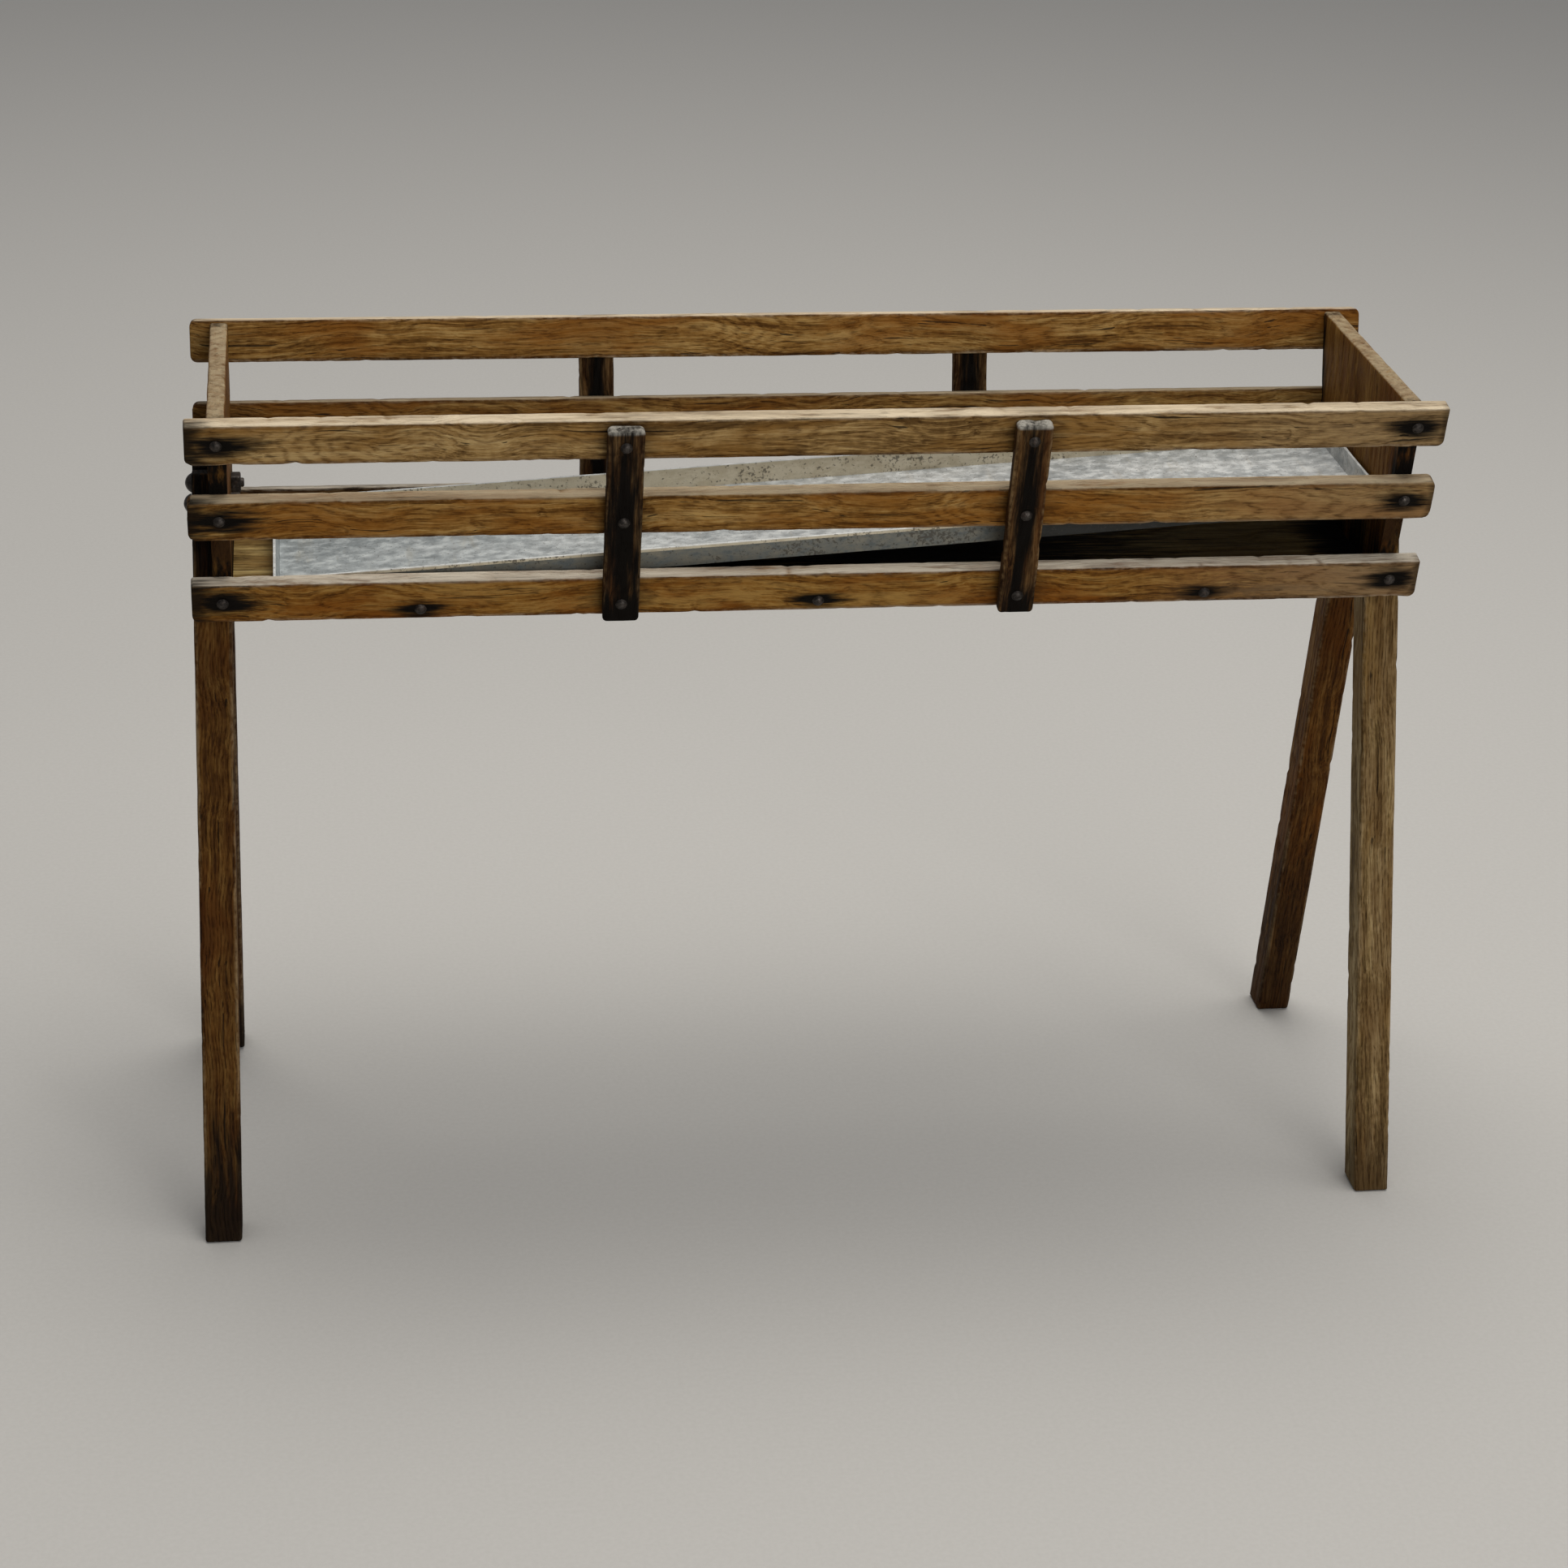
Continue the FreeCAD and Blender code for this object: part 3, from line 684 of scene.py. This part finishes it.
for wall, side, seed, damp_reach, damp_strength in (
        ("front", "left", 201.0, 0.125, 0.90), ("front", "right", 208.0, 0.070, 0.45),
        ("rear", "left", 215.0, 0.080, 0.90), ("rear", "right", 222.0, 0.260, 0.60)):
    end = 1 if side == "right" else -1
    away = 1 if wall == "rear" else -1
    leant = Matrix.Rotation(-end * leg_lean, 3, "Y")
    down = leant @ Vector((0, away * math.sin(leg_splay), -math.cos(leg_splay)))
    outward = leant @ Vector((end, 0, 0))
    axes = Matrix((down, outward.cross(down), outward)).transposed()
    place = tuple(Vector((end * leg_outer, away * bolt_out, bolt_up)) - outward * leg_thick / 2)
    turn = tuple(axes.to_euler())
    leg = leg_shape("visual_%s_%s_leg" % (wall, side))
    laid(leg, place, turn)
    worn(leg, deepest=0.0006, size=0.028, dent=0.0014)
    leg_cut(leg, end, foot=Vector(place) - down * (place[2] / down.z))
    # Around the bolt the leg is blackened: iron staining, with painted shade on the lapped top that sits
    # back in the shadow of the slats.
    marks = [(0.0, 0.0, 0.088, 0.050, 1.0), (foot_along, 0.0, damp_reach, 0.070, damp_strength)]
    oak(leg, place, turn, leg_half, seed, leg_tones_lit_and_shaded[wall + "_" + side], upper=(0, leg_edge, 0.0, thin_skin),
        rubbed=(leg_edge, 0.55), rings=(-0.045, 0.0030, 0.28), soaked=(1.0, marks))
    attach(leg, "stand")
    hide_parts("%s_%s_leg" % (wall, side))

# Leg bolts and nuts
# One dome-headed iron bolt goes through each leg and the end board, with its square neck in the leg.
# A square nut draws it tight on the inside of the board.
bolt_head, bolt_rise, bolt_thick = 0.017, 0.0065, 0.008
nut_wide, nut_thick, nut_face_ease, nut_side_ease = 0.014, 0.008, 0.0016, 0.0008
bolt_past_nut, bolt_tip, bolt_tip_share = 0.0025, 0.001, 0.78
bolt_long = leg_thick + nut_thick + bolt_past_nut

bolt = head_of("bolt", bolt_head, bolt_rise, segments=32)
bpy.ops.mesh.inset(thickness=(bolt_head - bolt_thick) / 2)
bpy.ops.mesh.extrude_region_move(TRANSFORM_OT_translate={"value": (0, 0, bolt_long - bolt_tip)})
bpy.ops.mesh.extrude_region_move(TRANSFORM_OT_translate={"value": (0, 0, bolt_tip)})
bpy.ops.transform.resize(value=(bolt_tip_share, bolt_tip_share, 1))
worn(bolt, deepest=0.0004, size=0.005)

nut = sawn("nut", nut_thick, nut_wide, nut_wide)
pick(nut, lambda a, b: a.x < 0 and b.x < 0)
bpy.ops.mesh.bevel(offset=nut_face_ease, segments=2, affect="EDGES")
pick(nut, lambda a, b: abs(a.x - b.x) > nut_thick / 2)
bpy.ops.mesh.bevel(offset=nut_side_ease, segments=2, affect="EDGES")
cut_across(1, -nut_wide / 2, nut_wide / 2, pitch=0.0025)
cut_across(2, -nut_wide / 2, nut_wide / 2, pitch=0.0025)
worn(nut, deepest=0.0004, size=0.004)

for side, end, thing, model, wide, seed in (
        ("left", -1, "bolts", bolt, bolt_head, 306.0), ("left", -1, "nuts", nut, nut_wide, 305.0),
        ("right", 1, "bolts", bolt, bolt_head, 312.0), ("right", 1, "nuts", nut, nut_wide, 311.0)):
    group = []
    low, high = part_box("%s_leg_%s" % (side, thing))
    up = (low.z + high.z) / 2
    for across in (-1, 1):
        one = again(model, "one_%s_%s" % (thing, side))
        out = across * (high.y - wide / 2)
        if thing == "bolts":
            seat = max(abs(low.x), abs(high.x)) - bolt_rise
            place, turn = (end * seat, out, up), (0, -end * math.pi / 2, 0)
        else:
            place, turn = ((low.x + high.x) / 2, out, up), (0, 0, 0 if end > 0 else math.pi)
        laid(one, place, turn)
        group.append(one)
    for one in group:
        one.select_set(True)
    bpy.ops.object.join()
    pair = bpy.context.object
    pair.name = "visual_%s_leg_%s" % (side, thing)
    iron(pair, seed)
    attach(pair, "stand")
    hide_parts("%s_leg_%s" % (side, thing))
bpy.data.objects.remove(bolt)
bpy.data.objects.remove(nut)

# Zinc tray
# A shallow pan folded from one zinc sheet, its rim turned over outward. It lies loose in the trough,
# its left end down on the floor and its right end propped on the nuts.
tray_long, tray_wide, tray_tall = 0.894, 0.17453, 0.017
tray_flare, tray_corner, sheet_thick = 0.002, 0.004, 0.001
rim_out, rim_down, rim_return = 0.003, 0.0033, 0.0016
tray_left, tray_gap, tray_tilt = -0.430, 0.0003, math.radians(3.64172)
tray = sawn("visual_zinc_tray", tray_long, tray_wide, tray_tall)
pick(tray, lambda a, b: a.z > 0 and b.z > 0)
bpy.ops.transform.resize(value=(1 + 2 * tray_flare / tray_long, 1 + 2 * tray_flare / tray_wide, 1),
                         center_override=(0, 0, 0))
pick(tray, lambda a, b: abs(a.z - b.z) > tray_tall / 2)
bpy.ops.mesh.bevel(offset=tray_corner, segments=4, affect="EDGES")
bpy.ops.mesh.select_mode(type="FACE")
bpy.ops.mesh.select_all(action="DESELECT")
shape = bmesh.from_edit_mesh(tray.data)
for face in shape.faces:
    face.select_set(face.normal.z > 0.9)
bmesh.update_edit_mesh(tray.data)
bpy.ops.mesh.delete(type="FACE")
pick(tray, lambda a, b: a.z > 0 and b.z > 0)
bpy.ops.mesh.extrude_edges_move(TRANSFORM_OT_translate={"value": (0, 0, 0)})
bpy.ops.transform.resize(value=(1 + 2 * rim_out / tray_long, 1 + 2 * rim_out / tray_wide, 1),
                         center_override=(0, 0, 0))
bpy.ops.mesh.extrude_edges_move(TRANSFORM_OT_translate={"value": (0, 0, -rim_down)})
bpy.ops.mesh.extrude_edges_move(TRANSFORM_OT_translate={"value": (0, 0, 0)})
bpy.ops.transform.resize(value=(1 - 2 * rim_return / tray_long, 1 - 2 * rim_return / tray_wide, 1),
                         center_override=(0, 0, 0))
cut_across(0, -tray_long / 2, tray_long / 2, pitch=0.022)
cut_across(1, -tray_wide / 2, tray_wide / 2, pitch=0.022)
bpy.ops.mesh.select_all(action="SELECT")
bpy.ops.mesh.normals_make_consistent(inside=False)
worn(tray, deepest=0.0012, size=0.07)
sheet = tray.modifiers.new("sheet", "SOLIDIFY")
sheet.thickness = sheet_thick
sheet.offset = -1
bpy.ops.object.modifier_apply(modifier="sheet")
bpy.ops.object.shade_smooth_by_angle(angle=crease)
tray_turn = (0, -tray_tilt, 0)
tray_middle = Euler(tray_turn).to_matrix() @ Vector((tray_long / 2, 0, tray_tall / 2))
tray_place = Vector((tray_left, 0, floor_high.z + tray_gap)) + tray_middle
laid(tray, tray_place, tray_turn)

zinc_dark, zinc_light, zinc_spangle = (0.300, 0.320, 0.325), (0.520, 0.535, 0.530), (0.60, 0.61, 0.60)
white_bloom, bare_blue, drip_brown = (0.690, 0.690, 0.655), (0.210, 0.220, 0.222), (0.40, 0.35, 0.26)
left_shade, limed_wall, limed_dark = (0.74, 0.78, 0.80), (0.61, 0.535, 0.375), (0.42, 0.36, 0.25)
outside_dark, painted_shade_black, rim_highlight = (0.105, 0.120, 0.118), (0.010, 0.010, 0.009), (0.74, 0.75, 0.73)
soil_brown = (0.06, 0.052, 0.04)
finish, flat = new_finish("weathered_zinc", tuple(tray_place), tray_turn)
x, y, z = flat.parts()
cloud = flat.noise((17, 30, 60), 400.0, 6)
bloom = flat.noise((85, 110, 160), 404.0, 7)
drip = flat.noise((60, 9, 30), 409.0, 5)
speck = flat.noise((420, 420, 420), 413.0, 3)
spangle = flat.node("ShaderNodeTexVoronoi", {}, {"Vector": flat, "Scale": 190.0, "Randomness": 1.0},
                    output="Color")
grain = spangle.node("ShaderNodeSeparateColor", {}, {0: spangle}, output=0)
colour = cloud.rise(0.34, 0.66).blend(zinc_dark, zinc_light)
colour = (grain * 0.25).blend(colour, zinc_spangle)
colour = (bloom.rise(0.48, 0.70) * 0.42).blend(colour, white_bloom)
colour = ((1 - bloom.rise(0.32, 0.48)) * 0.42).blend(colour, bare_blue)
colour = (drip.rise(0.56, 0.72) * 0.40).blend(colour, drip_brown)
colour = (1 - x.rise(-0.42, 0.12)).blend(colour, left_shade, "MULTIPLY")
facing = flat.node("ShaderNodeTexCoord", {}, {}, output="Normal").parts()[1]
wall = abs(facing).rise(0.45, 0.75)
outside = (facing * y * 10).rise(0.40, 0.60) * (1 - z.rise(0.0045, 0.0055))
colour = (wall * 0.80).blend(colour, limed_wall)
colour = (wall * (1 - bloom.rise(0.40, 0.58)) * 0.5).blend(colour, limed_dark)
colour = (outside * (0.30 + 1.1 * bloom)).blend(colour, outside_dark)
# Painted shade: the outer wall is blackened towards the right end, where it lies in deep shade under the
# slats.
colour = (outside * x.rise(0.115, 0.165) * 0.95).blend(colour, painted_shade_black)
# Painted highlight along the top of the turned-over rim, where it catches the light.
colour = (z.rise(0.0072, 0.0080) * 0.65).blend(colour, rim_highlight)
dirt = speck.rise(0.61, 0.68).most(wall * (speck * 0.6 + cloud * 0.6).rise(0.66, 0.72))
colour = (dirt * 0.75).blend(colour, soil_brown)
rough = 0.48 + 0.22 * bloom.rise(0.45, 0.65) + 0.1 * (speck - 0.5)
metal = 0.45 - 0.35 * bloom.rise(0.45, 0.62)
height = 0.6 * bloom + 0.3 * speck + 0.2 * grain
applied(tray, finish, colour, rough, height, relief=0.0004, metallic=metal)
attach(tray, "tray")
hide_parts("zinc_tray")

# Ground, light and camera
# A plain pale floor, one large soft lamp overhead and one further off at the front.
# The camera stands where the photograph was taken from.
bpy.ops.object.select_all(action="DESELECT")
bpy.ops.mesh.primitive_plane_add(size=60)
ground = bpy.context.object
ground.name = "ground"
finish, flat = new_finish("pale_ground", (0, 0, 0), (0, 0, 0))
fleck = flat.noise((240, 240, 240), 500.0, 3)
ground_darker, ground_paler = (0.47, 0.457, 0.432), (0.50, 0.487, 0.462)
colour = fleck.rise(0.2, 0.8).blend(ground_darker, ground_paler)
applied(ground, finish, colour, 0.8 + 0.1 * (fleck - 0.5), fleck, relief=0.00002)


def lamp(name, place, target, wide, tall, power, tint):
    """A soft rectangular lamp that faces its target."""
    bpy.ops.object.light_add(type="AREA", location=place)
    light = bpy.context.object
    light.name = name
    light.data.shape = "RECTANGLE"
    light.data.size = wide
    light.data.size_y = tall
    light.data.energy = power
    light.data.color = tint
    light.rotation_euler = (Vector(target) - Vector(place)).to_track_quat("-Z", "Y").to_euler()


lamp("overhead", (0.5, 0.5, 4.2), target=(0.0, 0.0, 0.4), wide=4.4, tall=3.0, power=165,
     tint=(1.0, 0.97, 0.92))
lamp("front", (2.4, -8.0, 3.0), target=(0.0, 0.0, 0.45), wide=5.2, tall=3.8, power=290,
     tint=(1.0, 0.98, 0.95))
world = bpy.data.worlds.new("studio")
bpy.context.scene.world = world
world.use_nodes = True
sky = world.node_tree.nodes["Background"]
sky.inputs["Color"].default_value = (0.93, 0.95, 1.0, 1)
sky.inputs["Strength"].default_value = 0.24
bpy.context.scene.view_settings.view_transform = "Standard"

eye = (-0.4095, -2.7236, 1.5878)
down, side, roll = 0.4305, -0.1464, 0.0332
photo_wide, photo_shift, focal, film = 1932, -2, 4345.68, 36
ahead = Vector((-math.sin(side) * math.cos(down), math.cos(side) * math.cos(down), -math.sin(down)))
level = Vector((math.cos(side), math.sin(side), 0))
upright = level.cross(ahead)
right = math.cos(roll) * level + math.sin(roll) * upright
above = math.cos(roll) * upright - math.sin(roll) * level
bpy.ops.object.camera_add(location=eye)
camera = bpy.context.object
camera.rotation_euler = Matrix((right, above, -ahead)).transposed().to_euler()
camera.data.sensor_width = film
camera.data.lens = film * focal / photo_wide
camera.data.shift_y = photo_shift / photo_wide
bpy.context.scene.camera = camera
